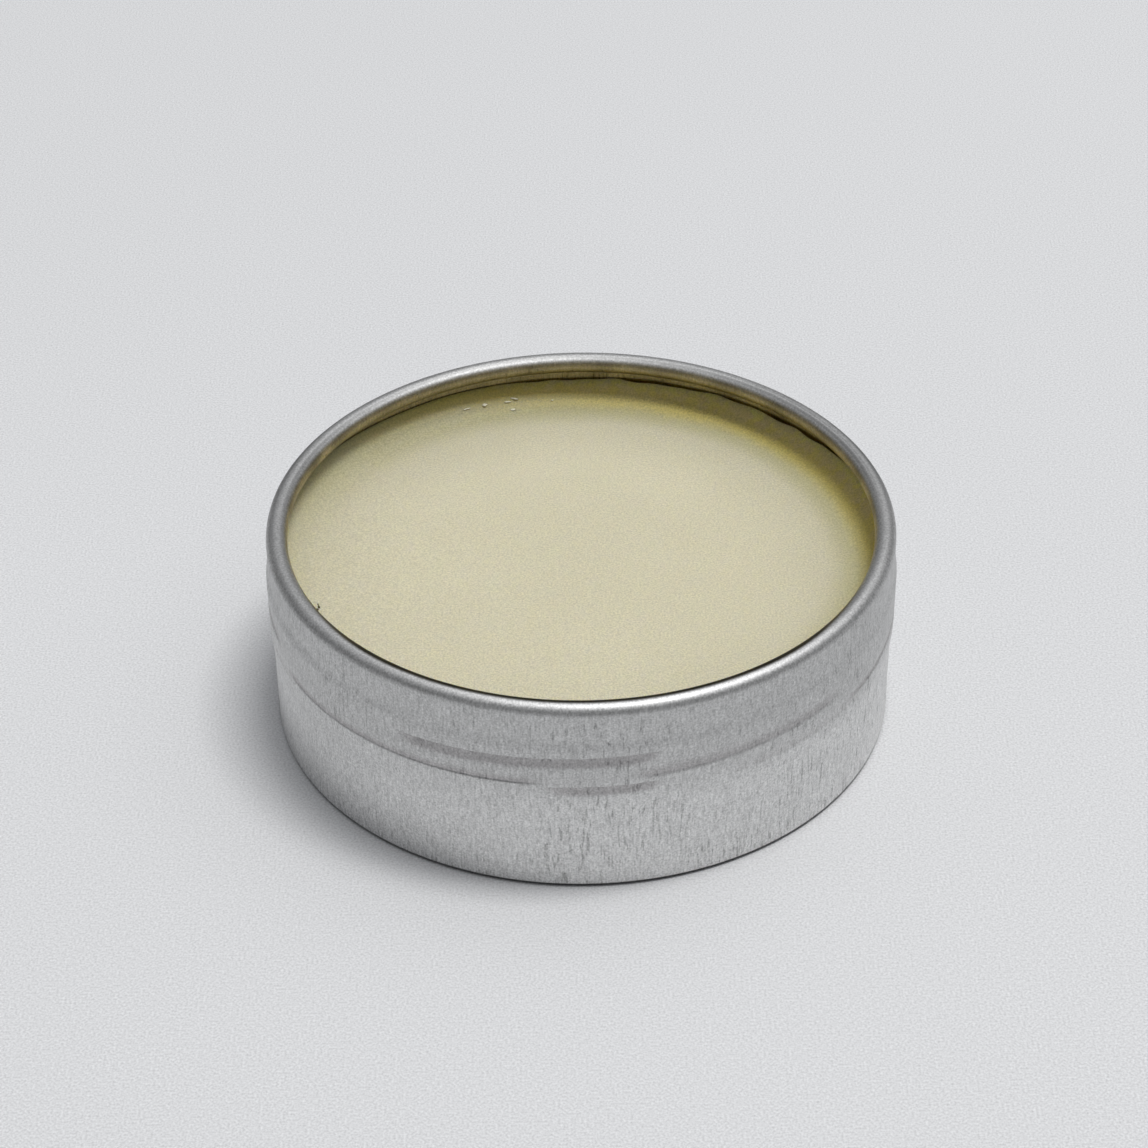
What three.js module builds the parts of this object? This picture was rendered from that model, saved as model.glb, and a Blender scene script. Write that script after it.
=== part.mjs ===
// A screw-top aluminium shoe polish tin, open, with its lid lying upside down beside it.
// Units are millimetres, +Z is up, and the origin is the centre of the tin's underside.
import * as THREE from "three";
import { mergeVertices } from "three/addons/utils/BufferGeometryUtils.js";

// Tin
const TIN_HEIGHT = 17.3;
const RIM_RADIUS = 25.2; // outside of the curled rim
const UPPER_RADIUS = 25.41; // outside of the threaded band
const LOWER_RADIUS = 25.15; // outside of the plain wall below the band
const SHEET = 0.35; // aluminium sheet, drawn and ironed
const CORNER_RADIUS = 0.55; // between the wall and the underside
const CURL_RADIUS = 0.85; // outside radius of the rim's rolled section
const CURL_END = THREE.MathUtils.degToRad(275); // the roll stops short of the wall, so it stays open
const STEP_LOW = 6.6; // the wall widens into the threaded band over this height
const STEP_HIGH = 9.2;
const NECK_LOW = 13.1; // and narrows to the rim over this one
const NECK_HIGH = 14.5;

// Rolled right-hand thread: each start is a helical groove, and a shallower run-out further up it
const STARTS = 3;
const LEAD = 5.2; // rise in one full turn
const FIRST_START = THREE.MathUtils.degToRad(-158);
const GROOVE_FOOT = 9.7; // height of a groove's lower end
const GROOVE_TURN = THREE.MathUtils.degToRad(120);
const GROOVE_DEPTH = 0.2;
const GROOVE_HALF_HEIGHT = 0.5;
const RUN_OUT_SKIP = THREE.MathUtils.degToRad(152); // the run-out starts this far round
const RUN_OUT_TURN = THREE.MathUtils.degToRad(54);
const RUN_OUT_DEPTH = 0.13;
const FADE_TURN = THREE.MathUtils.degToRad(12); // a groove fades in and out over this angle

// Polish
const POLISH_GAP = 0.3; // to the wall
const POLISH_FLOOR_GAP = 0.05;
const POLISH_LEVEL = 13.1; // at the centre
const POLISH_EDGE_LEVEL = 14.6; // where the wax creeps up the wall
const CREEP_WIDTH = 3.1;

// Lid, given here screwed down on the tin
const LID_CLEARANCE = 0.17; // radial, to the threaded band
const LID_FOOT = 8.3; // height of the skirt's edge
const LID_SHOULDER_RADIUS = 1.2;
const LINER_THICKNESS = 0.8;
const LINER_CLEARANCE = 0.2; // to the rim, where the real foam is squeezed
const ADHESIVE_GAP = 0.3; // between the liner and the lid
const PANEL_RAISE = 0.3; // the middle of the lid stands up by this much
const PANEL_RADIUS = 22.6;
const HEM_HEIGHT = 0.9; // folded edge of the skirt
const HEM_WIDTH = 0.35;
const BEAD_DEPTH = 0.27; // inward thread beads that run in the tin's grooves
const BEAD_HALF_HEIGHT = 0.4;
const BEAD_SKIP = THREE.MathUtils.degToRad(62); // a bead starts this far along its groove
const BEAD_TURN = THREE.MathUtils.degToRad(50);

const LID_INNER_RADIUS = UPPER_RADIUS + LID_CLEARANCE;
const LID_OUTER_RADIUS = LID_INNER_RADIUS + SHEET;
const LINER_LOW = TIN_HEIGHT + LINER_CLEARANCE;
const LINER_HIGH = LINER_LOW + LINER_THICKNESS;
const RING_INNER = LINER_HIGH + ADHESIVE_GAP; // inside of the lid, round its edge
const RING_OUTER = RING_INNER + SHEET;
const CLOSED_HEIGHT = RING_OUTER + PANEL_RAISE;

// The open lid lies this far from the tin, turned over about a line half way between them.
const LID_OFFSET = 80;

const SEGMENTS = 72; // round the circumference: a whole number for each thread start
const TURN = 2 * Math.PI;
const { smoothstep } = THREE.MathUtils;

const tinMetal = new THREE.MeshStandardMaterial({ color: 0xa9abae, roughness: 0.36, metalness: 1 });
const lidMetal = new THREE.MeshStandardMaterial({ color: 0xb0b2b5, roughness: 0.34, metalness: 1 });
const wax = new THREE.MeshStandardMaterial({ color: 0xcbc6a8, roughness: 0.42, metalness: 0 });
const foam = new THREE.MeshStandardMaterial({ color: 0xeceae4, roughness: 0.85, metalness: 0 });

// Outside radius of the tin's wall at a height, without its thread.
function wallRadius(z) {
  const widened = (UPPER_RADIUS - LOWER_RADIUS) * smoothstep(z, STEP_LOW, STEP_HIGH);
  const narrowed = (UPPER_RADIUS - RIM_RADIUS) * smoothstep(z, NECK_LOW, NECK_HIGH);
  return LOWER_RADIUS + widened - narrowed;
}

// How strongly (0 to 1) a helical mark shows at a point. It starts `skip` along its groove and
// covers the angle `turn`; its cross-section is a cosine bell of the given half height.
function helixMark(angle, z, skip, turn, halfHeight) {
  let mark = 0;
  for (let start = 0; start < STARTS; start++) {
    const foot = FIRST_START + (start * TURN) / STARTS;
    const along = THREE.MathUtils.euclideanModulo(angle - foot, TURN);
    const fade =
      smoothstep(along, skip, skip + FADE_TURN) *
      (1 - smoothstep(along, skip + turn - FADE_TURN, skip + turn));
    const away = Math.abs(z - (GROOVE_FOOT + (LEAD * along) / TURN)) / halfHeight;
    if (away < 1) mark = Math.max(mark, fade * Math.cos((away * Math.PI) / 2) ** 2);
  }
  return mark;
}

const grooveDepth = (angle, z) =>
  GROOVE_DEPTH * helixMark(angle, z, 0, GROOVE_TURN, GROOVE_HALF_HEIGHT) +
  RUN_OUT_DEPTH * helixMark(angle, z, RUN_OUT_SKIP, RUN_OUT_TURN, GROOVE_HALF_HEIGHT);
const beadDepth = (angle, z) =>
  BEAD_DEPTH * helixMark(angle, z, BEAD_SKIP, BEAD_TURN, BEAD_HALF_HEIGHT);

// Points of an arc in the radius-height plane, both ends included.
function arc(centreR, centreZ, radius, from, to, pieces) {
  const path = new THREE.Path();
  path.absarc(centreR, centreZ, radius, from, to, to < from);
  return path.getSpacedPoints(pieces);
}

// Points up or down a wall whose radius is a function of height.
function rows(radiusAt, from, to, pieces) {
  return Array.from({ length: pieces + 1 }, (_, i) => {
    const z = THREE.MathUtils.lerp(from, to, i / pieces);
    return new THREE.Vector2(radiusAt(z), z);
  });
}

// A turned solid round +Z. `inwards(angle, z)` is how far its outer points move towards the axis.
function turned(outline, inwards) {
  const lathe = new THREE.LatheGeometry(outline, SEGMENTS);
  lathe.rotateX(Math.PI / 2);
  lathe.deleteAttribute("normal");
  lathe.deleteAttribute("uv");
  const solid = mergeVertices(lathe, 1e-4);
  if (inwards) {
    const at = solid.attributes.position;
    for (let i = 0; i < at.count; i++) {
      const radius = Math.hypot(at.getX(i), at.getY(i));
      if (radius < LOWER_RADIUS - 2 * SHEET) continue;
      const scale = 1 - inwards(Math.atan2(at.getY(i), at.getX(i)), at.getZ(i)) / radius;
      at.setXY(i, at.getX(i) * scale, at.getY(i) * scale);
    }
  }
  solid.computeVertexNormals();
  return solid;
}

// Drawn cup with its thread band and inward-curled rim, bottom centre outside to bottom centre inside.
function tinOutline() {
  const thread = GROOVE_FOOT - GROOVE_HALF_HEIGHT;
  const threadTop =
    GROOVE_FOOT + (LEAD * (RUN_OUT_SKIP + RUN_OUT_TURN)) / TURN + GROOVE_HALF_HEIGHT;
  const curlR = RIM_RADIUS - CURL_RADIUS;
  const curlZ = TIN_HEIGHT - CURL_RADIUS;
  const inner = (z) => wallRadius(z) - SHEET;
  const cornerR = LOWER_RADIUS - CORNER_RADIUS;
  const insideCorner = CORNER_RADIUS - SHEET;
  const quarter = Math.PI / 2;
  return [
    new THREE.Vector2(0, 0),
    ...arc(cornerR, CORNER_RADIUS, CORNER_RADIUS, -quarter, 0, 4),
    new THREE.Vector2(wallRadius(STEP_LOW), STEP_LOW),
    ...rows(wallRadius, thread, threadTop, 16),
    new THREE.Vector2(wallRadius(NECK_HIGH), NECK_HIGH),
    ...arc(curlR, curlZ, CURL_RADIUS, 0, CURL_END, 12),
    ...arc(curlR, curlZ, CURL_RADIUS - SHEET, CURL_END, 0, 9),
    new THREE.Vector2(inner(NECK_HIGH), NECK_HIGH),
    ...rows(inner, threadTop, thread, 16),
    new THREE.Vector2(inner(STEP_LOW), STEP_LOW),
    ...arc(cornerR, CORNER_RADIUS, insideCorner, 0, -quarter, 3),
    new THREE.Vector2(0, SHEET),
  ];
}

// Wax cast in the tin: slightly dished, creeping up towards the wall.
function polishOutline() {
  const radius = LOWER_RADIUS - SHEET - POLISH_GAP;
  const low = SHEET + POLISH_FLOOR_GAP;
  const creep = (r) => smoothstep(r, radius - CREEP_WIDTH, radius) ** 1.5;
  const rise = POLISH_EDGE_LEVEL - POLISH_LEVEL;
  const surface = Array.from({ length: 6 }, (_, i) => {
    const r = radius - (CREEP_WIDTH * i) / 5;
    return new THREE.Vector2(r, POLISH_LEVEL + rise * creep(r));
  });
  return [
    new THREE.Vector2(0, low),
    ...arc(radius - CORNER_RADIUS, low + CORNER_RADIUS, CORNER_RADIUS, -Math.PI / 2, 0, 3),
    ...surface,
    new THREE.Vector2(0, POLISH_LEVEL),
  ];
}

// Screw cap: raised panel, rounded shoulder, beaded skirt and folded hem, top centre outside to inside.
function lidOutline() {
  const quarter = Math.PI / 2;
  const shoulderR = LID_OUTER_RADIUS - LID_SHOULDER_RADIUS;
  const shoulderZ = RING_OUTER - LID_SHOULDER_RADIUS;
  const thread = GROOVE_FOOT + (LEAD * BEAD_SKIP) / TURN - BEAD_HALF_HEIGHT;
  const threadTop = thread + (LEAD * BEAD_TURN) / TURN + 2 * BEAD_HALF_HEIGHT;
  const hemTop = LID_FOOT + HEM_HEIGHT;
  const outside = () => LID_OUTER_RADIUS;
  const inside = () => LID_INNER_RADIUS;
  return [
    new THREE.Vector2(0, CLOSED_HEIGHT),
    new THREE.Vector2(PANEL_RADIUS, CLOSED_HEIGHT),
    new THREE.Vector2(PANEL_RADIUS + PANEL_RAISE, RING_OUTER),
    ...arc(shoulderR, shoulderZ, LID_SHOULDER_RADIUS, quarter, 0, 5),
    ...rows(outside, threadTop, thread, 7),
    ...arc(LID_OUTER_RADIUS, hemTop - HEM_HEIGHT / 2, HEM_HEIGHT / 2, quarter, -quarter, 6).map(
      (p) => new THREE.Vector2(Math.min(p.x, LID_OUTER_RADIUS + HEM_WIDTH), p.y),
    ),
    new THREE.Vector2(LID_INNER_RADIUS, LID_FOOT),
    ...rows(inside, thread, threadTop, 7),
    ...arc(shoulderR, shoulderZ, LID_SHOULDER_RADIUS - SHEET, 0, quarter, 4),
    new THREE.Vector2(PANEL_RADIUS + PANEL_RAISE, RING_INNER),
    new THREE.Vector2(PANEL_RADIUS, RING_INNER + PANEL_RAISE),
    new THREE.Vector2(0, RING_INNER + PANEL_RAISE),
  ].reverse();
}

// Foam disc that seals on the rim, with a slightly eased edge.
function linerOutline() {
  const radius = RIM_RADIUS - 0.1;
  const ease = 0.15;
  return [
    new THREE.Vector2(0, LINER_LOW),
    new THREE.Vector2(radius - ease, LINER_LOW),
    new THREE.Vector2(radius, LINER_LOW + ease),
    new THREE.Vector2(radius, LINER_HIGH - ease),
    new THREE.Vector2(radius - ease, LINER_HIGH),
    new THREE.Vector2(0, LINER_HIGH),
  ];
}

function piece(name, geometry, material) {
  const mesh = new THREE.Mesh(geometry, material);
  mesh.name = name;
  return mesh;
}

const tin = new THREE.Group();
tin.add(piece("tin_body", turned(tinOutline(), grooveDepth), tinMetal));
tin.add(piece("polish", turned(polishOutline()), wax));

// The lid's group turns about the line that carries it from the table to the tin.
const lidPivot = new THREE.Group();
lidPivot.position.set(-LID_OFFSET / 2, 0, CLOSED_HEIGHT / 2);
lidPivot.rotation.y = -Math.PI;
const lidOnTin = new THREE.Group();
lidOnTin.position.copy(lidPivot.position).negate();
lidOnTin.add(piece("lid", turned(lidOutline(), beadDepth), lidMetal));
lidOnTin.add(piece("lid_liner", turned(linerOutline()), foam));
lidPivot.add(lidOnTin);

const shoePolishTin = new THREE.Group();
shoePolishTin.add(tin, lidPivot);

export default shoePolishTin;
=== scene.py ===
"""An open screw-top tin of pale wax shoe polish, with its lined lid lying upside down beside it."""
import math

import bmesh
import bpy
import numpy as np
from mathutils import Matrix, Vector


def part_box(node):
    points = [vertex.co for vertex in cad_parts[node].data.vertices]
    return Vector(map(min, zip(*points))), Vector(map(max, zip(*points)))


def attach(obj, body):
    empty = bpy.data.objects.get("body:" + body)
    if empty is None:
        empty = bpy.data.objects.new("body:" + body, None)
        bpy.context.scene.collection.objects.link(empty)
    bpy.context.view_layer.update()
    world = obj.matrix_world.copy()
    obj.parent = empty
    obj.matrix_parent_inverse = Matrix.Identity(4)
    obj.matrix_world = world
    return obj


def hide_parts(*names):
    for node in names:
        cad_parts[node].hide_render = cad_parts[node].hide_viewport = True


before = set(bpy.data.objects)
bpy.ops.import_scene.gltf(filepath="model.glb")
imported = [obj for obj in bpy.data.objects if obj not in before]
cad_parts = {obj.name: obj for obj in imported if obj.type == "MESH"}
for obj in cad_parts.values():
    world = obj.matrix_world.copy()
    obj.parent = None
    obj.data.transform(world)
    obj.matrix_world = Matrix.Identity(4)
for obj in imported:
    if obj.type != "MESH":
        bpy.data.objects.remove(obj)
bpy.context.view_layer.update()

MM = 0.001
TAU = 2 * math.pi
ROUND = 384  # steps round the tin's circumference

# ---- Places and sizes that come from the frame, in millimetres
TIN_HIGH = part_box("tin_body")[1].z / MM
BAND_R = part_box("tin_body")[1].x / MM
LID_LOW, LID_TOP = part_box("lid")
LID_X = (LID_LOW.x + LID_TOP.x) / 2 / MM
LID_TALL = (LID_TOP.z - LID_LOW.z) / MM
HEM_R = (LID_TOP.x - LID_LOW.x) / 2 / MM
LINER_LOW, LINER_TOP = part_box("lid_liner")
LINER_R = (LINER_TOP.x - LINER_LOW.x) / 2 / MM
LINER_DEEP = LINER_LOW.z / MM  # from the lid's outside face to the liner
LINER_THICK = (LINER_TOP.z - LINER_LOW.z) / MM

# ---- Tin
SHEET = 0.35
WALL_R = 25.2  # plain wall below the thread band
BAND_BASE_R = BAND_R - 0.005
RIM_R = 25.2
CORNER = 0.2
CORNER_GAP = 0.17  # the corner stands clear of the table by this much
CURL = 0.85  # radius of the rim's rolled section
CURL_END = math.radians(275)
ROLL_SHADE = 0.78
STEP_LOW, STEP_HIGH = 6.6, 9.2
NECK_LOW, NECK_HIGH = 13.1, 14.5
FINE_LOW, FINE_HIGH = 8.3, 13.3  # the thread marks lie between these heights
FOOT_R, FOOT_RISE = 21.5, 0.25  # the underside is set up inside this ring
FOOT_OUT_R = 23.4  # the tin stands on the flat between FOOT_R and here
FOOT_ROUND = 0.12
INSIDE_CORNER = 0.4
DENT, SWAY = 0.004, 0.012  # how far the wall is out of round, and the rim out of level

# Rolled marks of one thread start: (angle from, angle to, height from, height to, share of the
# height above the peak, share below it, push outwards). Three starts repeat them round the tin.
STARTS = 3
MARKS = (
    (-158, -94, 9.78, 10.36, 0.7, 0.24, -0.09),
    (-98, -75, 9.85, 10.1, 0.12, 1.0, -0.22),
    (-84, -36, 10.75, 11.35, 1.3, 0.32, -0.09),
    (-68, -28, 9.25, 9.35, 1.2, 0.25, -0.05),
    (-125, -75, 12.22, 12.88, 0.12, 1.1, -0.24),
)
MARK_FADE = 7.0  # degrees over which a mark fades in and out
SOFT_EDGE = 0.035  # share of a mark's depth that is trimmed off its faint edges
MARK_DARK = np.array([0.19, 0.21, 0.205])  # painted shade: how much darker a thread mark is, in red, green and blue
WAX_STAIN = np.array([0.54, 0.47, 0.32])

# ---- Wax
WAX_FLAT = 13.1
WAX_EDGE = 14.65
WAX_R = 24.74
MENISCUS = 3.1  # width of the creep up the wall
WAX_FOOT, WAX_FOOT_ROUND = 1, 1.2  # height and rounding of its hidden underside
CREVICE = 0.24  # how far it has pulled away from the wall at most
YELLOW_R = 19.0  # the wax turns yellower outside this radius
# Flecks: (angle, distance from the axis, height, half sizes)
PALE_FLECKS = (
    (110.6, 23.5, 13.67, (0.24, 0.24, 0.06)), (104.8, 22.6, 13.25, (0.18, 0.26, 0.05)),
    (104.1, 23.6, 13.73, (0.12, 0.42, 0.05)), (105.6, 23.4, 13.62, (0.12, 0.3, 0.05)),
    (114.6, 23.5, 13.67, (0.1, 0.4, 0.05)), (96.0, 23.1, 13.45, (0.1, 0.12, 0.04)),
)
DARK_FLECKS = (
    (-150.0, 23.68, 16.6, (0.16, 0.12, 0.1)), (-150.1, 23.47, 16.65, (0.1, 0.12, 0.14)),
    (-150.3, 23.3, 16.8, (0.07, 0.12, 0.14)), (-150.8, 23.26, 16.9, (0.06, 0.12, 0.06)),
)


def smooth(x, low, high):
    t = np.clip((x - low) / (high - low), 0, 1)
    return t * t * (3 - 2 * t)


def waves(angle, seed, count=7, lowest=2):
    """A smooth periodic wobble round the tin, about -1 to 1."""
    draw = np.random.default_rng(seed)
    total = np.zeros_like(angle)
    for n in range(count):
        size, phase = draw.uniform(0.4, 1.0), draw.uniform(0, TAU)
        total = total + size / (n + 1) ** 0.5 * np.sin((lowest + n) * angle + phase)
    return total / 2.2


def arc(centre_r, centre_z, radius, start, end, steps):
    turn = np.linspace(start, end, steps + 1)
    return [(centre_r + radius * math.cos(a), centre_z + radius * math.sin(a)) for a in turn]


def wall(radius_at, low, high, step):
    count = max(1, round(abs(high - low) / step))
    return [(float(radius_at(z)), float(z)) for z in np.linspace(low, high, count + 1)]


def across(z, start, end, step):
    count = max(1, round(abs(end - start) / step))
    return [(float(r), z) for r in np.linspace(start, end, count + 1)]


def in_scene(name, data):
    """A new object for this mesh, light or camera, put in the scene."""
    obj = bpy.data.objects.new(name, data)
    bpy.context.scene.collection.objects.link(obj)
    return obj


def turned(name, outline, shift=None, steps=ROUND, sharp=50):
    """A closed form turned round +Z from its outline, which starts and ends on the axis.

    shift(angle, radius, height) moves the points outwards and upwards, and edges that bend by
    more than the angle sharp are shaded as sharp ones. A point that repeats the last is dropped.
    """
    clean = [outline[0]]
    for p in outline[1:]:
        if math.hypot(p[0] - clean[-1][0], p[1] - clean[-1][1]) > 1e-4:
            clean.append(p)
    line = np.array(clean, float)
    ring = line[1:-1]
    angle = np.arange(steps) * TAU / steps
    a, r = np.meshgrid(angle, ring[:, 0], indexing="ij")
    z = np.broadcast_to(ring[:, 1], a.shape)
    if shift is not None:
        dr, dz = shift(a, r, z)
        r, z = r + dr, z + dz
    points = np.stack([r * np.cos(a), r * np.sin(a), z], -1).reshape(-1, 3)
    count = len(ring)
    tips = len(points)
    points = np.vstack([points, [[0, 0, line[0, 1]], [0, 0, line[-1, 1]]]]) * MM
    faces = []
    for i in range(steps):
        here, there = i * count, ((i + 1) % steps) * count
        faces.append((tips, there, here))
        for j in range(count - 1):
            faces.append((here + j, there + j, there + j + 1, here + j + 1))
        faces.append((tips + 1, here + count - 1, there + count - 1))
    mesh = bpy.data.meshes.new(name)
    mesh.from_pydata(points.tolist(), [], faces)
    mesh.polygons.foreach_set("use_smooth", [True] * len(mesh.polygons))
    mesh.set_sharp_from_angle(angle=math.radians(sharp))
    mesh.update()
    return in_scene(name, mesh)


def vertex_value(obj, name, values):
    obj.data.attributes.new(name, "FLOAT", "POINT").data.foreach_set(
        "value", np.asarray(values, np.float32)
    )


def vertex_tint(obj, tint):
    """A colour for every vertex that the metal's own colour is multiplied by."""
    rgba = np.ones((len(tint), 4), np.float32)
    rgba[:, :3] = tint
    obj.data.attributes.new("patina_and_shade", "FLOAT_COLOR", "POINT").data.foreach_set(
        "color", rgba.ravel()
    )


def places(obj):
    """Every vertex of a piece as angle, radius and height, in millimetres."""
    co = np.zeros(len(obj.data.vertices) * 3)
    obj.data.vertices.foreach_get("co", co)
    co = co.reshape(-1, 3) / MM
    return np.arctan2(co[:, 1], co[:, 0]), np.hypot(co[:, 0], co[:, 1]), co[:, 2]


# ---------------------------------------------------------------- node materials
class Nodes:
    """A short way to write the node tree of a material or of the world."""

    def __init__(self, owner, output="ShaderNodeOutputMaterial"):
        owner.use_nodes = True
        self.owner = owner
        self.tree = owner.node_tree
        self.tree.nodes.clear()
        self.out = self.add(output)

    def add(self, kind, **settings):
        node = self.tree.nodes.new(kind)
        for key, value in settings.items():
            setattr(node, key, value)
        return node

    def put(self, socket, value):
        if isinstance(value, bpy.types.NodeSocket):
            self.tree.links.new(value, socket)
        elif value is not None:
            socket.default_value = value

    def math(self, operation, a, b=None, c=None):
        node = self.add("ShaderNodeMath", operation=operation)
        for socket, value in zip(node.inputs, (a, b, c)):
            self.put(socket, value)
        return node.outputs[0]

    def ramp(self, value, low, high, to_low=0.0, to_high=1.0):
        node = self.add("ShaderNodeMapRange", interpolation_type="SMOOTHSTEP")
        for socket, v in zip(node.inputs, (value, low, high, to_low, to_high)):
            self.put(socket, v)
        return node.outputs[0]

    def mix(self, share, a, b):
        node = self.add("ShaderNodeMix", data_type="RGBA")
        self.put(node.inputs[0], share)
        self.put(node.inputs[6], a)
        self.put(node.inputs[7], b)
        return node.outputs[2]

    def noise(self, vector, per_metre, detail=2.0, rough=0.5, twist=0.0):
        """Noise with about this many lumps in a metre along x, y and z."""
        stretch = self.add("ShaderNodeVectorMath", operation="MULTIPLY")
        self.put(stretch.inputs[0], vector)
        self.put(stretch.inputs[1], per_metre)
        node = self.add("ShaderNodeTexNoise")
        self.put(node.inputs["Vector"], stretch.outputs[0])
        for key, v in (("Scale", 1.0), ("Detail", detail), ("Roughness", rough),
                       ("Distortion", twist)):
            node.inputs[key].default_value = v
        return node.outputs["Fac"]

    def bump(self, height, distance, strength):
        node = self.add("ShaderNodeBump")
        node.inputs["Strength"].default_value = strength
        node.inputs["Distance"].default_value = distance
        self.put(node.inputs["Height"], height)
        return node.outputs[0]

    def around(self, value, size, base):
        """The base, plus a noise's departure from its middle times size."""
        return self.math("MULTIPLY_ADD", self.math("SUBTRACT", value, 0.5), size, base)

    def place(self):
        return self.add("ShaderNodeTexCoord").outputs["Object"]

    def scaled(self, colour, factor):
        node = self.add("ShaderNodeVectorMath", operation="SCALE")
        self.put(node.inputs[0], colour)
        self.put(node.inputs[3], factor)
        return node.outputs[0]

    def surface(self, **values):
        shader = self.add("ShaderNodeBsdfPrincipled")
        for key, value in values.items():
            self.put(shader.inputs[key.replace("_", " ")], value)
        self.put(self.out.inputs[0], shader.outputs[0])
        return shader


def satin_metal(name, colour, rough, rim_from, rim_to, rim_rough):
    """Drawn aluminium: fine upright marks on walls, turning marks on flats, a smoother rolled rim."""
    n = Nodes(bpy.data.materials.new(name))
    place = n.place()
    xyz = n.add("ShaderNodeSeparateXYZ")
    n.put(xyz.inputs[0], place)
    x, y, z = xyz.outputs
    radius = n.math("SQRT", n.math("ADD", n.math("MULTIPLY", x, x), n.math("MULTIPLY", y, y)))
    # turning marks: noise along the radius only
    ring = n.add("ShaderNodeCombineXYZ")
    n.put(ring.inputs[0], radius)
    turned_marks = n.noise(ring.outputs[0], (5200, 0, 0), 3.0, 0.6)
    # upright marks: noise squeezed round the wall, stretched up it
    grain = n.noise(place, (6200, 6200, 1100), 2.0, 0.6)
    speck = n.noise(place, (6500, 6500, 6500), 1.0, 0.5)
    streak = n.noise(place, (4300, 4300, 620), 1.0, 0.5, twist=0.4)
    patch = n.noise(place, (130, 130, 110), 1.0, 0.5)
    scratch = n.math("MULTIPLY", n.ramp(streak, 0.58, 0.68), n.ramp(patch, 0.36, 0.62, 0.25))
    broad = n.noise(place, (160, 160, 90), 2.0, 0.5)
    geometry = n.add("ShaderNodeNewGeometry")
    slope = n.add("ShaderNodeSeparateXYZ")
    n.put(slope.inputs[0], geometry.outputs["True Normal"])
    flat = n.ramp(n.math("ABSOLUTE", slope.outputs[2]), 0.75, 0.95)
    rim = n.ramp(z, rim_from, rim_to)
    marks = n.add("ShaderNodeMix", data_type="FLOAT")
    n.put(marks.inputs[0], flat)
    n.put(marks.inputs[2], grain)
    n.put(marks.inputs[3], turned_marks)
    marks = marks.outputs[0]
    on_wall = n.math("MULTIPLY", n.math("SUBTRACT", 1.0, flat), n.math("SUBTRACT", 1.0, rim))
    scratch = n.math("MULTIPLY", scratch, on_wall)
    tone = n.around(marks, 0.7, 1.0)
    tone = n.around(speck, 0.9, tone)
    tone = n.math("MULTIPLY_ADD", scratch, -0.26, tone)
    tone = n.around(broad, 0.1, tone)
    finish = n.ramp(z, rim_from, rim_to, rough, rim_rough)
    finish = n.around(broad, 0.08, finish)
    finish = n.math("MULTIPLY_ADD", scratch, 0.06, finish)
    height = n.math("MULTIPLY_ADD", scratch, -2.4, marks)
    calm = n.math("MULTIPLY_ADD", rim, -0.85, 1.0)
    normal = n.bump(n.math("MULTIPLY", height, calm), 0.000012, 0.6)
    # this vertex tint carries real stain and painted shade and reflections
    patina_and_shade = n.add("ShaderNodeAttribute", attribute_name="patina_and_shade").outputs["Color"]
    tint = n.add("ShaderNodeVectorMath", operation="MULTIPLY")
    n.put(tint.inputs[0], n.scaled(colour, tone))
    n.put(tint.inputs[1], patina_and_shade)
    shader = n.surface(
        Base_Color=tint.outputs[0], Metallic=1.0, Roughness=finish, Normal=normal,
    )
    n.put(shader.inputs["Anisotropic"], n.math("MULTIPLY", on_wall, 0.75))
    n.put(shader.inputs["Tangent"], n.add(
        "ShaderNodeTangent", direction_type="RADIAL", axis="Z").outputs[0])
    return n.owner


def polish_wax(name):
    """Pale waxy cream: mustard and clearer where it thins up the wall."""
    n = Nodes(bpy.data.materials.new(name))
    place = n.place()
    edge = n.add("ShaderNodeAttribute", attribute_name="edge").outputs["Fac"]
    wax_shade = n.add("ShaderNodeAttribute", attribute_name="wax_shade").outputs["Fac"]
    cloud = n.noise(place, (110, 110, 110), 3.0, 0.55)
    fine = n.noise(place, (6500, 6500, 6500), 2.0, 0.6)
    pale = n.mix(n.ramp(cloud, 0.35, 0.65), (0.71, 0.665, 0.483, 1), (0.725, 0.68, 0.498, 1))
    shift = n.around(cloud, 0.2, edge)
    colour = n.mix(n.ramp(shift, 0.06, 0.46), pale, (0.61, 0.57, 0.34, 1))
    colour = n.mix(n.ramp(shift, 0.4, 0.72), colour, (0.72, 0.60, 0.165, 1))
    colour = n.mix(n.ramp(shift, 0.72, 1.0), colour, (1.0, 0.86, 0.30, 1))
    stain = n.noise(place, (700, 700, 700), 3.0, 0.65)
    stain = n.math("MULTIPLY", n.ramp(stain, 0.42, 0.6), n.ramp(shift, 0.62, 0.9, 0.0, 0.6))
    colour = n.mix(stain, colour, (0.74, 0.60, 0.38, 1))
    # the vertex attribute here carries painted shade towards the wall
    tone = n.around(fine, 0.85, wax_shade)
    colour = n.scaled(colour, tone)
    height = n.math("MULTIPLY_ADD", cloud, 3.0, fine)
    normal = n.bump(height, 0.00001, 0.5)
    n.surface(
        Base_Color=colour, Roughness=n.ramp(fine, 0.2, 0.8, 0.42, 0.52), Normal=normal,
        Subsurface_Weight=0.6, Subsurface_Radius=(1.0, 0.75, 0.3), Subsurface_Scale=0.0012,
        IOR=1.44, Specular_IOR_Level=0.4,
    )
    return n.owner


def dried_wax(name, deep, light):
    """A crumb of wax that has dried to a rough skin."""
    n = Nodes(bpy.data.materials.new(name))
    place = n.place()
    mottle = n.noise(place, (9000, 9000, 9000), 2.0, 0.6)
    n.surface(
        Base_Color=n.mix(mottle, deep, light),
        Roughness=0.6, Normal=n.bump(mottle, 0.00003, 0.6),
    )
    return n.owner


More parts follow.
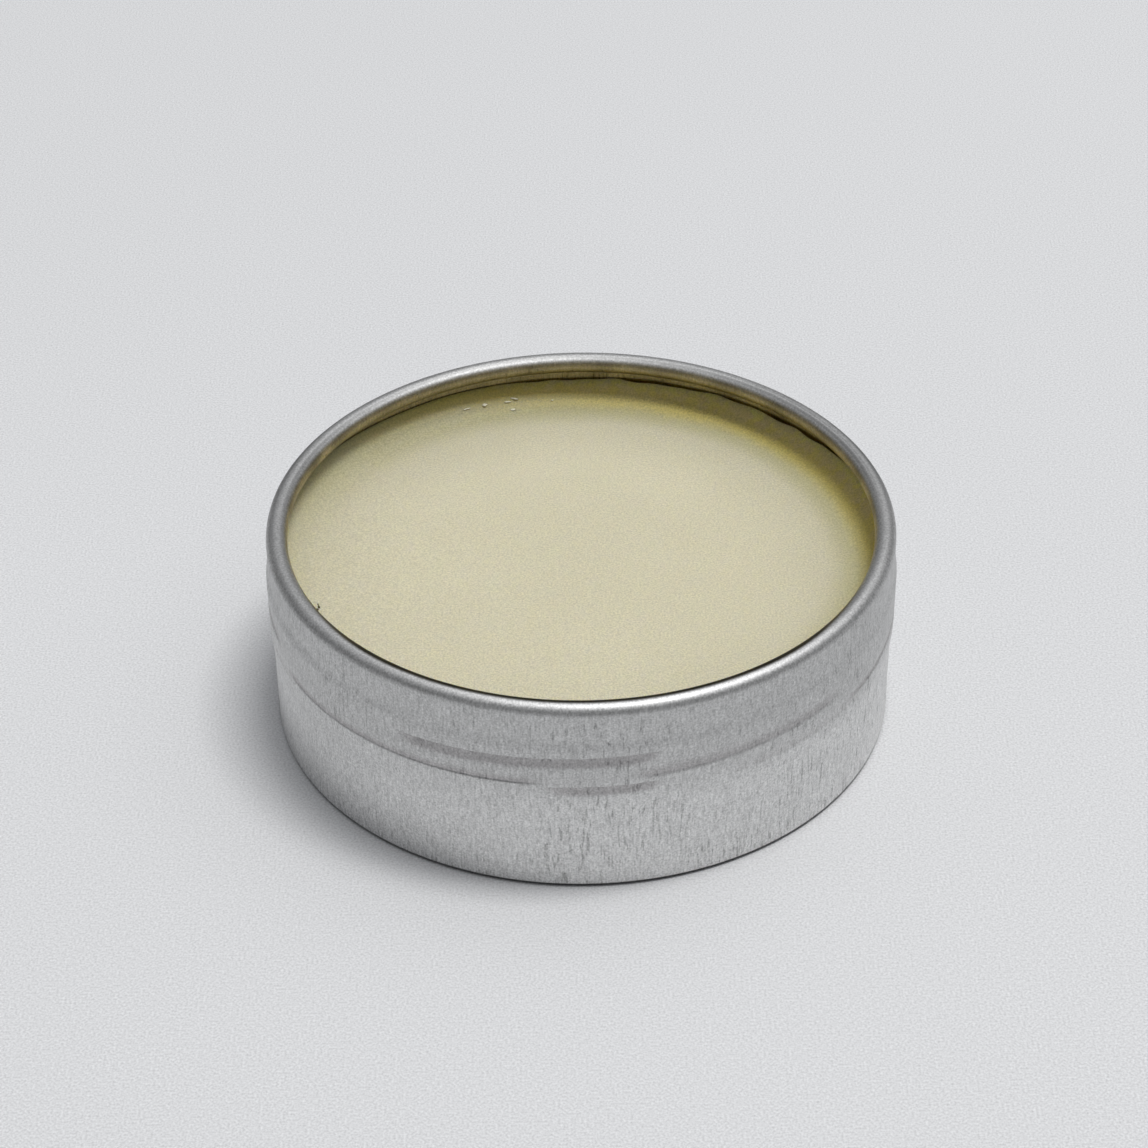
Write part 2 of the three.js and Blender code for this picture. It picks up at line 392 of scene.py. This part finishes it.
def foam(name):
    """Closed-cell liner sheet."""
    n = Nodes(bpy.data.materials.new(name))
    place = n.place()
    cells = n.add("ShaderNodeTexVoronoi", feature="SMOOTH_F1")
    n.put(cells.inputs["Vector"], place)
    cells.inputs["Scale"].default_value = 4200
    bubble = cells.outputs["Distance"]
    soft = n.noise(place, (220, 220, 220), 2.0, 0.5)
    colour = n.mix(n.ramp(soft, 0.35, 0.65), (0.825, 0.815, 0.78, 1), (0.85, 0.845, 0.81, 1))
    colour = n.mix(n.ramp(bubble, 0.1, 0.6, 0.25, 0.0), colour, (0.66, 0.65, 0.61, 1))
    n.surface(
        Base_Color=colour, Roughness=0.72, Normal=n.bump(bubble, 0.00004, 0.6),
        Subsurface_Weight=0.15, Subsurface_Radius=(1, 1, 1), Subsurface_Scale=0.0005,
        Specular_IOR_Level=0.3,
    )
    return n.owner


def place_piece(obj, material, body, slot, *nodes):
    obj.data.materials.append(material)
    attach(obj, body)
    if nodes:
        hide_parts(*nodes)
    return obj


# ---------------------------------------------------------------- tin
def band_r(z):
    wide = (BAND_BASE_R - WALL_R) * smooth(z, STEP_LOW, STEP_HIGH)
    return WALL_R + wide - (BAND_BASE_R - RIM_R) * smooth(z, NECK_LOW, NECK_HIGH)


def inner_r(z):
    return band_r(z) - SHEET


def rolled(angle, z, start, begin, end, low, high):
    """One rolled mark of one thread start: its strength along it, and how far z is above it."""
    along = np.mod(np.degrees(angle) - begin - start * 360 / STARTS, 360)
    length = end - begin
    fade = smooth(along, 0, MARK_FADE) * (1 - smooth(along, length - MARK_FADE, length))
    return fade, z - low - (high - low) * along / length


def thread(angle, z):
    """How far the rolled thread pushes the sheet outwards."""
    push = np.zeros_like(angle)
    for start in range(STARTS):
        for begin, end, low, high, above, below, size in MARKS:
            fade, over = rolled(angle, z, start, begin, end, low, high)
            reach = np.where(over > 0, above, below)
            shape = smooth(1 - np.abs(over) / reach, -0.15, 1.15)
            shape = np.maximum(shape - SOFT_EDGE, 0) / (1 - SOFT_EDGE)
            push = push + size * fade * shape
    return push


def tin_shift(angle, r, z):
    on_wall = (r > WALL_R - 2 * SHEET) & (z < TIN_HIGH - 2 * CURL)
    push = np.where(on_wall, thread(angle, z), 0)
    rim = smooth(z, NECK_HIGH, TIN_HIGH)
    sway = SWAY * waves(angle, 3) * rim * (r > RIM_R - 3)
    dent = DENT * waves(angle + z * 0.05, 5, 9, 3) * smooth(z, 0.8, 3) * (r > WALL_R - 2)
    return push - np.abs(dent), np.where(z > TIN_HIGH - CURL, np.minimum(sway, 0), 0)


curl_r, curl_z = RIM_R - CURL, TIN_HIGH - CURL
corner_r, corner_z = WALL_R - CORNER, CORNER_GAP + CORNER
quarter = math.pi / 2
# The section, from the middle of the underside out, up the wall, round the roll and back inside.
# The wall's points are close together only where the thread marks are.
tin_outline = (
    [(0, FOOT_RISE), (8, FOOT_RISE), (16, FOOT_RISE), (FOOT_R - 0.5, FOOT_RISE)]
    + arc(FOOT_R - 0.5, FOOT_RISE - FOOT_ROUND, FOOT_ROUND, quarter, 0.3, 3)
    + [(FOOT_R + 0.1, 0.02), (FOOT_R + 0.3, 0), (FOOT_OUT_R, 0),
       (FOOT_OUT_R + 0.3, CORNER_GAP * 0.6), (FOOT_OUT_R + 0.6, CORNER_GAP)]
    + arc(corner_r, corner_z, CORNER, -quarter, 0, 8)
    + wall(band_r, corner_z + 0.4, STEP_LOW, 0.8)
    + wall(band_r, STEP_LOW + 0.3, FINE_LOW - 0.1, 0.3)
    + wall(band_r, FINE_LOW, FINE_HIGH, 0.05)
    + wall(band_r, FINE_HIGH + 0.2, NECK_HIGH, 0.2)
    + arc(curl_r, curl_z, CURL, 0, CURL_END, 34)
    + arc(curl_r, curl_z, CURL - SHEET, CURL_END, 0, 20)
    + wall(inner_r, curl_z - 0.3, FINE_HIGH, 0.2)
    + wall(inner_r, FINE_HIGH - 0.2, FINE_LOW + 0.1, 0.35)
    + wall(inner_r, FINE_LOW - 0.7, 1.2, 1.2)
    + arc(WALL_R - SHEET - INSIDE_CORNER, SHEET + 0.5, INSIDE_CORNER, 0, -quarter, 4)
    + [(23.0, SHEET), (22.2, SHEET), (FOOT_R - 0.8, FOOT_RISE + SHEET), (0, FOOT_RISE + SHEET)]
)
tin_metal = satin_metal(
    "drawn_aluminium", (0.73, 0.73, 0.725), 0.46, (TIN_HIGH - 1.0) * MM,
    (TIN_HIGH - 0.6) * MM, 0.52,
)
tin = turned("tin_shell", tin_outline, tin_shift)


def tin_patina_and_shade(obj):
    """Darker on the band and on the roll, with painted shade in the thread marks and at the foot,
    painted dark reflections on the roll, and stained by wax inside.
    """
    angle, r, z = places(obj)
    outer = r > WALL_R - 0.3
    shade = 1.0 - 0.2 * smooth(z, 7.0, 11.5) - 0.03 * smooth(z, 0.5, 5)
    shade = shade + (ROLL_SHADE - shade) * smooth(z, curl_z + 0.1, curl_z + 0.5)
    # painted contact shadow: nearly black in the corner at the foot
    shade = shade * (0.05 + 0.95 * smooth(z, CORNER_GAP + 0.1, CORNER_GAP + 0.2))
    # painted shade in the thread marks, deepening the darker reflections of their tilted flanks
    mark_shade = np.where(outer, smooth(-thread(angle, z), 0.01, 0.09), 0)
    tint = shade[:, None] * (1 - mark_shade[:, None] * MARK_DARK)
    # place round the roll's section: 0 outwards, 90 on top, 180 inwards
    turn = (np.degrees(np.arctan2(z - curl_z, r - curl_r)) + 80) % 360 - 80
    front, back = smooth(-np.sin(angle), 0.3, 0.8), smooth(np.sin(angle), -0.1, 0.4)
    # painted dark reflections: two bands along the back of the roll, and a streak between them at the
    # right
    dark_reflection = 0.5 * (1 - smooth(turn, 56, 76)) + 0.5 * np.exp(-((turn - 117) / 8) ** 2)
    streak = 0.3 * np.exp(-((turn - 97) / 5) ** 2) * smooth(np.cos(angle), 0.3, 0.8)
    dark_reflection = (dark_reflection + streak) * back * smooth(z, curl_z - 0.2, curl_z + 0.1)
    tint = tint * (1 - dark_reflection)[:, None]
    # the wax stain ends low inside the roll; at the front it reaches the top and is painted nearly
    # black there as a painted dark reflection
    on_roll = (z > TIN_HIGH - 2 * CURL - 0.05) & (r < RIM_R - 0.2)
    inner = np.where(on_roll, smooth(turn, 132 - 52 * front, 158 - 62 * front), ~outer)[:, None]
    # at the front the roll's inner side is painted nearly black: a painted dark reflection
    mottle = (1 + 0.2 * waves(angle + 0.02 * z, 51, 40, 25)) * (1 - 0.86 * front * on_roll)
    stain = WAX_STAIN * mottle[:, None]
    return tint * (1 - inner) + stain * inner


vertex_tint(tin, tin_patina_and_shade(tin))
place_piece(tin, tin_metal, "tin", "tin_metal", "tin_body")


# ---------------------------------------------------------------- wax
def crevice(angle):
    """Where the wax has pulled away from the wall: the back and right of the tin."""
    degrees = np.degrees(np.arctan2(np.sin(angle), np.cos(angle)))
    where = smooth(degrees, 18, 32) * (1 - smooth(degrees, 92, 108))
    ragged = 0.55 + 0.4 * waves(angle, 11, 14, 9) + 0.35 * waves(angle, 12, 30, 30)
    return where * np.clip(ragged, 0.1, 1.3)


def wax_shift(angle, r, z):
    top = z > WAX_FLAT - 0.5
    climb = smooth(r, WAX_R - MENISCUS, WAX_R)
    rim_wobble = 0.09 * waves(angle, 21, 16, 4) * climb ** 3
    slow = 0.03 * waves(angle, 23, 4, 1) * smooth(r, 0, 20)
    gap = crevice(angle) * CREVICE * climb ** 4
    return np.where(top, -gap, 0), np.where(top, rim_wobble + slow - gap * 0.6, 0)


surface_r = np.concatenate([
    np.linspace(WAX_R, WAX_R - 0.6, 12), np.linspace(WAX_R - 0.7, WAX_R - MENISCUS, 26),
    np.linspace(WAX_R - MENISCUS - 0.5, 1, 30),
])
climb = np.clip((surface_r - (WAX_R - MENISCUS)) / MENISCUS, 0, 1)
wax_outline = (
    [(0, WAX_FOOT), (12, WAX_FOOT), (WAX_R - WAX_FOOT_ROUND, WAX_FOOT)]
    + arc(WAX_R - WAX_FOOT_ROUND, WAX_FOOT + WAX_FOOT_ROUND, WAX_FOOT_ROUND, -quarter, 0, 4)
    + wall(lambda z: WAX_R, 4, WAX_FLAT - 0.4, 2)
    + [(float(r), WAX_FLAT + (WAX_EDGE - WAX_FLAT) * float(c) ** 2.1)
       for r, c in zip(surface_r, climb)]
    + [(0, WAX_FLAT)]
)
wax = turned("wax_cake", wax_outline, wax_shift, sharp=60)
wax_angle, wax_r, _ = places(wax)
# the wax is yellower towards the wall at the back and right, and painted shade darkens it towards the
# wall all round but the front, less so right at the wall
yellow = 0.6 + 0.4 * np.cos(wax_angle - math.radians(40))
vertex_value(wax, "edge", np.clip((wax_r - YELLOW_R) / (WAX_R - YELLOW_R), 0, 1) * yellow)
wax_shade = 0.24 * smooth(wax_r, 12, 25) * (1 - 0.7 * smooth(wax_r, 23, WAX_R))
wax_shade = wax_shade * (0.6 + 0.33 * np.sin(wax_angle) + 0.15 * np.cos(wax_angle))
# and a painted shadow: a soft darker ring under the roll's inner edge that softens the edge of the
# roll's cast shadow
roll_shadow = 0.2 * np.exp(-((wax_r - 23.4) / 0.35) ** 2) * smooth(np.sin(wax_angle), 0.5, 0.95)
vertex_value(wax, "wax_shade", 1 - wax_shade - roll_shadow)
wax_material = polish_wax("polish_wax")
place_piece(wax, wax_material, "tin", "wax", "polish")


def flecks(name, spots, seed):
    """Rough little lumps, each (angle, distance from the axis, height, three half sizes)."""
    draw = np.random.default_rng(seed)
    form = bmesh.new()
    for degrees, r, z, size in spots:
        a = math.radians(degrees)
        placed = (
            Matrix.Translation((r * math.cos(a) * MM, r * math.sin(a) * MM, z * MM))
            @ Matrix.Rotation(a + draw.uniform(-0.5, 0.5), 4, "Z")
            @ Matrix.Diagonal((*(s * MM for s in size), 1))
        )
        made = bmesh.ops.create_icosphere(form, subdivisions=2, radius=1)["verts"]
        for v in made:
            v.co = placed @ (v.co * draw.uniform(0.7, 1.15))
    mesh = bpy.data.meshes.new(name)
    form.to_mesh(mesh)
    form.free()
    mesh.polygons.foreach_set("use_smooth", [True] * len(mesh.polygons))
    return in_scene(name, mesh)


# pale flecks of wax near the back, and one dark curl caught on the rim's inner edge
pale_flecks = flecks("wax_flecks", PALE_FLECKS, 61)
pale_crumb = dried_wax("pale_crumb", (0.80, 0.77, 0.58, 1), (0.94, 0.91, 0.74, 1))
place_piece(pale_flecks, pale_crumb, "tin", "wax")
dark_fleck = flecks("dried_curl", DARK_FLECKS, 63)
dark_crumb = dried_wax("dark_crumb", (0.07, 0.055, 0.02, 1), (0.22, 0.19, 0.09, 1))
place_piece(dark_fleck, dark_crumb, "tin", "wax")


# ---------------------------------------------------------------- lid
# The lid and liner are made screwed down, with the lid's outside face at LID_TALL, then turned over.
LID_CLEARANCE = 0.17  # to the tin's threaded band
LID_SHELL_R = BAND_R + LID_CLEARANCE + SHEET
LID_BORE_R = LID_SHELL_R - SHEET
SHOULDER = 1.2
PANEL_R, PANEL_RAISE = 22.6, 0.3
HEM_HIGH, HEM_WIDE = 0.9, HEM_R - LID_SHELL_R
HEM_ROUND, HEM_LIP = 0.44, 0.16
BEAD = (-96, -46, 2.3, 3.02)  # angle from, angle to, height from, height to
BEAD_HALF, BEAD_DEEP = 0.42, 0.14
BEADS_HIGH = 4.0  # the beads lie below this height
LINER_EASE = 0.16  # rounding of the liner's edges
PRESS_DEEP, PRESS_WIDE = 0.1, 0.5  # the ring that the rim has pressed into it


def beads(angle, z):
    """How far the lid's thread beads push the skirt inwards."""
    push = np.zeros_like(angle)
    for start in range(STARTS):
        fade, over = rolled(angle, z, start, *BEAD)
        away = np.clip(np.abs(over) / BEAD_HALF, 0, 1)
        push = push + BEAD_DEEP * fade * np.cos(away * quarter) ** 2
    return push


def lid_shift(angle, r, z):
    skirt = (r > LID_BORE_R - 0.1) & (z < LID_TALL - 2) & (z > HEM_HIGH)
    dent = 0.01 * waves(angle, 31, 9, 3) * smooth(z, 0.5, 2) * (r > PANEL_R + 1)
    return np.where(skirt, -beads(angle, z), 0) - np.abs(dent), np.zeros_like(angle)


ring_top = LID_TALL - PANEL_RAISE
shoulder_r, shoulder_z = LID_SHELL_R - SHOULDER, ring_top - SHOULDER
hem_centre = LID_SHELL_R + HEM_WIDE - HEM_ROUND
# The section, from the middle of the outside face down the skirt, round the hem and back inside
lid_outline = (
    [(0, LID_TALL), (8, LID_TALL), (16, LID_TALL)]
    + across(LID_TALL, 20, PANEL_R - 0.15, 0.8)
    + [(PANEL_R - 0.02, LID_TALL - 0.03), (PANEL_R + 0.14, LID_TALL - 0.16),
       (PANEL_R + 0.28, ring_top + 0.03), (PANEL_R + 0.42, ring_top)]
    + arc(shoulder_r, shoulder_z, SHOULDER, quarter, 0, 14)
    + wall(lambda z: LID_SHELL_R, shoulder_z - 0.5, BEADS_HIGH + 0.2, 0.6)
    + wall(lambda z: LID_SHELL_R, BEADS_HIGH, HEM_HIGH + 0.06, 0.08)
    + arc(hem_centre, HEM_HIGH - HEM_ROUND, HEM_ROUND, quarter, 0, 6)
    + arc(hem_centre, HEM_ROUND, HEM_ROUND, 0, -quarter, 6)
    + arc(LID_BORE_R + HEM_LIP, HEM_LIP, HEM_LIP, -quarter, -2 * quarter, 4)
    + wall(lambda z: LID_BORE_R, HEM_HIGH + 0.06, BEADS_HIGH, 0.08)
    + wall(lambda z: LID_BORE_R, BEADS_HIGH + 0.2, shoulder_z - 0.5, 0.6)
    + arc(shoulder_r, shoulder_z, SHOULDER - SHEET, 0, quarter, 8)
    + [(PANEL_R + 0.42, ring_top - SHEET), (PANEL_R, LID_TALL - SHEET - 0.05),
       (PANEL_R - 0.3, LID_TALL - SHEET), (12, LID_TALL - SHEET), (0, LID_TALL - SHEET)]
)[::-1]
lid_metal = satin_metal(
    "lid_aluminium", (0.71, 0.715, 0.725), 0.34, 1.0 * MM, 0.5 * MM, 0.24,
)
turn_over = Matrix.Translation((LID_X * MM, 0, LID_TALL * MM)) @ Matrix.Rotation(math.pi, 4, "Y")
lid = turned("lid_shell", lid_outline, lid_shift, sharp=55)
lid_angle, lid_r, lid_z = places(lid)
# darker along the lid's thread beads
bead_darkening = np.clip(beads(lid_angle, lid_z) / BEAD_DEEP, 0, 1) * (lid_r > LID_BORE_R - 0.6)
vertex_tint(lid, (1 - 0.12 * bead_darkening)[:, None] * np.ones(3))
lid.matrix_world = turn_over
place_piece(lid, lid_metal, "cap", "lid_metal", "lid")


liner_high = LID_TALL - LINER_DEEP
liner_low = liner_high - LINER_THICK


def liner_shift(angle, r, z):
    """The rim has pressed a shallow ring into the foam."""
    face = z < liner_low + 0.1
    ring = np.exp(-((r - curl_r) / PRESS_WIDE) ** 2)
    press = PRESS_DEEP * ring * (1 + 0.15 * waves(angle, 41, 8, 2))
    ripple = 0.02 * waves(angle, 43, 5, 2) * smooth(r, 4, 22) * (r < LINER_R - 1)
    return np.zeros_like(angle), np.where(face, press + np.maximum(ripple, 0), 0)


liner_outline = (
    [(0, liner_low)]
    + across(liner_low, 1, curl_r - 1.5, 1.0)
    + across(liner_low, curl_r - 1.4, LINER_R - LINER_EASE, 0.1)
    + arc(LINER_R - LINER_EASE, liner_low + LINER_EASE, LINER_EASE, -quarter, 0, 4)
    + arc(LINER_R - LINER_EASE, liner_high - LINER_EASE, LINER_EASE, 0, quarter, 4)
    + [(12, liner_high), (0, liner_high)]
)
liner = turned("liner_disc", liner_outline, liner_shift, steps=256, sharp=60)
liner.matrix_world = turn_over
place_piece(liner, foam("liner_foam"), "cap", "liner_foam", "lid_liner")


# ---------------------------------------------------------------- studio
BACKDROP = (0.66, 0.67, 0.685, 1)
SWEEP = (0.3, 0.9)  # metres from the tin over which the floor sweeps up into the backdrop


def floor_material():
    n = Nodes(bpy.data.materials.new("pale_floor"))
    place = n.place()
    soft = n.noise(place, (9, 9, 9), 3.0, 0.5)
    grain = n.noise(place, (1500, 1500, 1500), 2.0, 0.5)
    colour = n.mix(n.ramp(soft, 0.3, 0.7), (0.79, 0.795, 0.805, 1), (0.80, 0.805, 0.815, 1))
    speck = n.noise(place, (5500, 5500, 5500), 1.0, 0.5)
    colour = n.scaled(colour, n.around(speck, 0.65, 0.99))
    surface = n.surface(
        Base_Color=colour, Roughness=0.6, Specular_IOR_Level=0.2,
        Normal=n.bump(grain, 0.00002, 0.15),
    )
    distance = n.add("ShaderNodeVectorMath", operation="LENGTH")
    n.put(distance.inputs[0], place)
    seen = n.add("ShaderNodeLightPath").outputs["Is Camera Ray"]
    backdrop = n.add("ShaderNodeEmission")
    backdrop.inputs[0].default_value = BACKDROP
    sweep = n.add("ShaderNodeMixShader")
    n.put(sweep.inputs[0], n.math("MULTIPLY", n.ramp(distance.outputs["Value"], *SWEEP), seen))
    n.put(sweep.inputs[1], surface.outputs[0])
    n.put(sweep.inputs[2], backdrop.outputs[0])
    n.put(n.out.inputs[0], sweep.outputs[0])
    return n.owner


FLOOR_R = 3.0
floor_mesh = bpy.data.meshes.new("floor")
floor_points = [
    (FLOOR_R * math.cos(a), FLOOR_R * math.sin(a), 0) for a in np.linspace(0, TAU, 65)[:-1]
]
floor_mesh.from_pydata(floor_points, [], [tuple(range(64))])
floor = in_scene("floor", floor_mesh)
floor_mesh.materials.append(floor_material())

KEY_HIGH = 1.6
KEY_X, KEY_Y = (0.06, 0.66), (-0.14, 0.2)
KEY_POWER = 12.75
KEY_DIRECTION = (0.22, 0.03, 0.975)
key_data = bpy.data.lights.new("softbox", "AREA")
key_data.shape = "RECTANGLE"
key_data.size, key_data.size_y = KEY_X[1] - KEY_X[0], KEY_Y[1] - KEY_Y[0]
key_data.energy = KEY_POWER
key_data.color = (1.0, 0.995, 0.985)
key = in_scene("softbox", key_data)
key.location = (sum(KEY_X) / 2, sum(KEY_Y) / 2, KEY_HIGH)


def studio_world():
    n = Nodes(bpy.data.worlds.new("studio"), "ShaderNodeOutputWorld")
    up = n.add("ShaderNodeSeparateXYZ")
    sky = n.add("ShaderNodeTexCoord").outputs["Generated"]
    n.put(up.inputs[0], sky)
    height = up.outputs[2]
    low = n.ramp(height, 0.25, 0.75, 0.09, 0.38)
    low = n.math("MULTIPLY", low, n.ramp(up.outputs[1], -0.7, 0.2, 0.62, 1.0))
    towards = n.add("ShaderNodeVectorMath", operation="DOT_PRODUCT")
    n.put(towards.inputs[0], sky)
    towards.inputs[1].default_value = KEY_DIRECTION
    glow = n.ramp(towards.outputs["Value"], 0.72, 1.0, 0.0, 0.7)
    level = n.math("ADD", low, glow)
    tint = n.scaled((0.985, 1.0, 1.03), level)
    seen = n.add("ShaderNodeBackground")
    seen.inputs[0].default_value = BACKDROP
    lit = n.add("ShaderNodeBackground")
    n.put(lit.inputs[0], tint)
    path = n.add("ShaderNodeLightPath")
    both = n.add("ShaderNodeMixShader")
    n.put(both.inputs[0], path.outputs["Is Camera Ray"])
    n.put(both.inputs[1], lit.outputs[0])
    n.put(both.inputs[2], seen.outputs[0])
    n.put(n.out.inputs[0], both.outputs[0])
    return n.owner


bpy.context.scene.world = studio_world()
bpy.context.scene.view_settings.view_transform = "Standard"

# ---------------------------------------------------------------- camera
CAMERA_BACK, CAMERA_HIGH = 0.19345, 0.15116
CAMERA_YAW, CAMERA_PITCH, CAMERA_ROLL = 0.0031, 0.6258, -0.0111
CAMERA_LENS = 92.14
ahead = Vector((
    -math.sin(CAMERA_YAW) * math.cos(CAMERA_PITCH),
    math.cos(CAMERA_YAW) * math.cos(CAMERA_PITCH),
    -math.sin(CAMERA_PITCH),
))
right = Vector((math.cos(CAMERA_YAW), math.sin(CAMERA_YAW), 0))
up = right.cross(ahead)
roll_c, roll_s = math.cos(CAMERA_ROLL), math.sin(CAMERA_ROLL)
camera_x = roll_c * right + roll_s * up
camera_y = roll_c * up - roll_s * right
camera_data = bpy.data.cameras.new("camera")
camera_data.sensor_width = 36
camera_data.lens = CAMERA_LENS
camera_data.clip_start, camera_data.clip_end = 0.01, 20
camera = in_scene("camera", camera_data)
camera.matrix_world = (
    Matrix.Translation((0, -CAMERA_BACK, CAMERA_HIGH))
    @ Matrix((camera_x, camera_y, -ahead)).transposed().to_4x4()
)
bpy.context.scene.camera = camera
